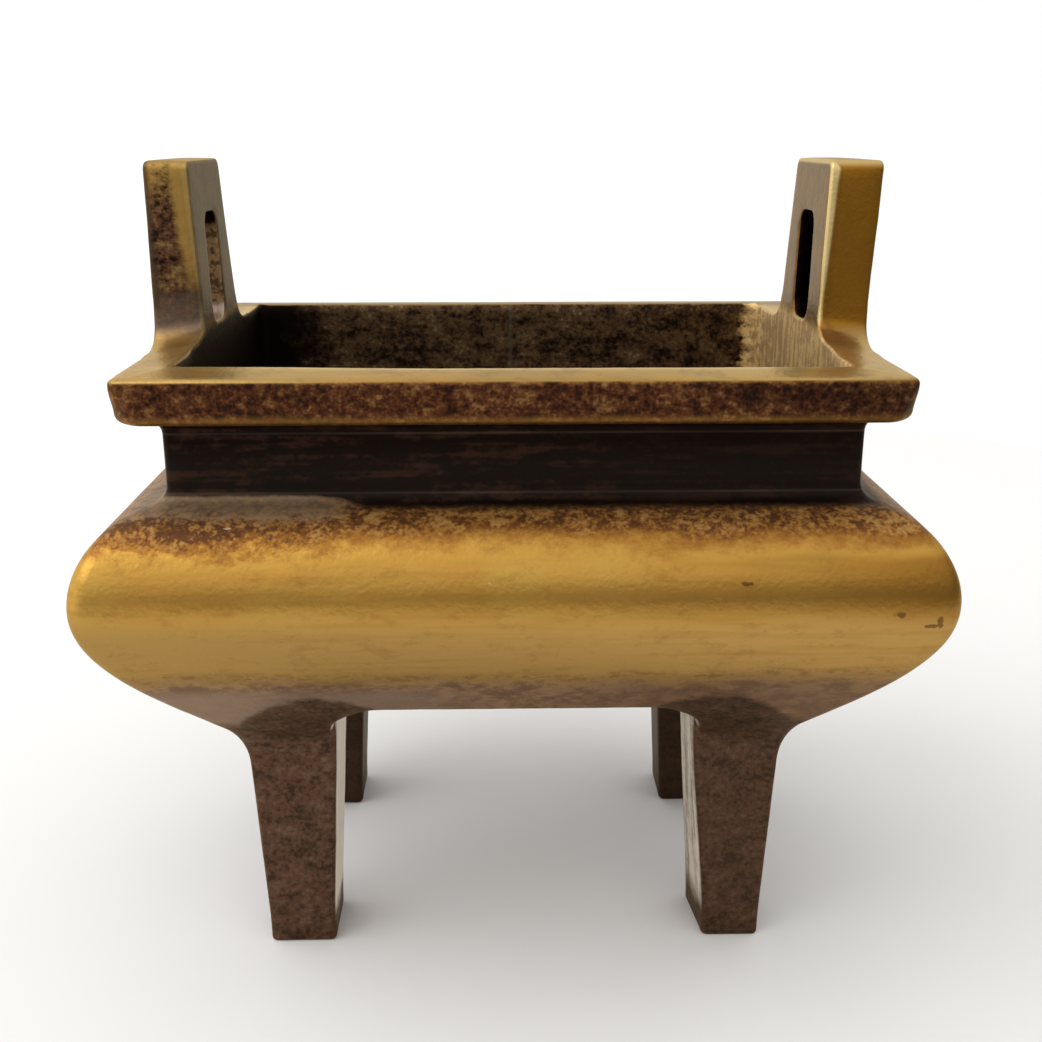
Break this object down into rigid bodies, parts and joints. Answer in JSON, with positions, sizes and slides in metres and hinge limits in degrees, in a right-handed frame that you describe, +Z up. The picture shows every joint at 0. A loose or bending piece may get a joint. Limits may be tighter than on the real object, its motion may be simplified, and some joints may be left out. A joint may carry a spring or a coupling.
{
  "type": "rectangular incense burner",
  "caption": "Hollow cast brass censer of rectangular ding form: bulging belly on tapering legs, recessed neck, flanged open mouth and upright slotted handles.",
  "frame": {"origin": "on the table, in the middle of the rectangle that the feet make", "axes": "+X along the vessel towards one handle, +Y through its depth, +Z up"},
  "size_m": [0.1216, 0.097, 0.1219],
  "materials": {
    "patinated_brass": "worn satin brass with dark brown patina"
  },
  "bodies": {
    "root": {"burner_casting": "patinated_brass"}
  },
  "joints": []
}
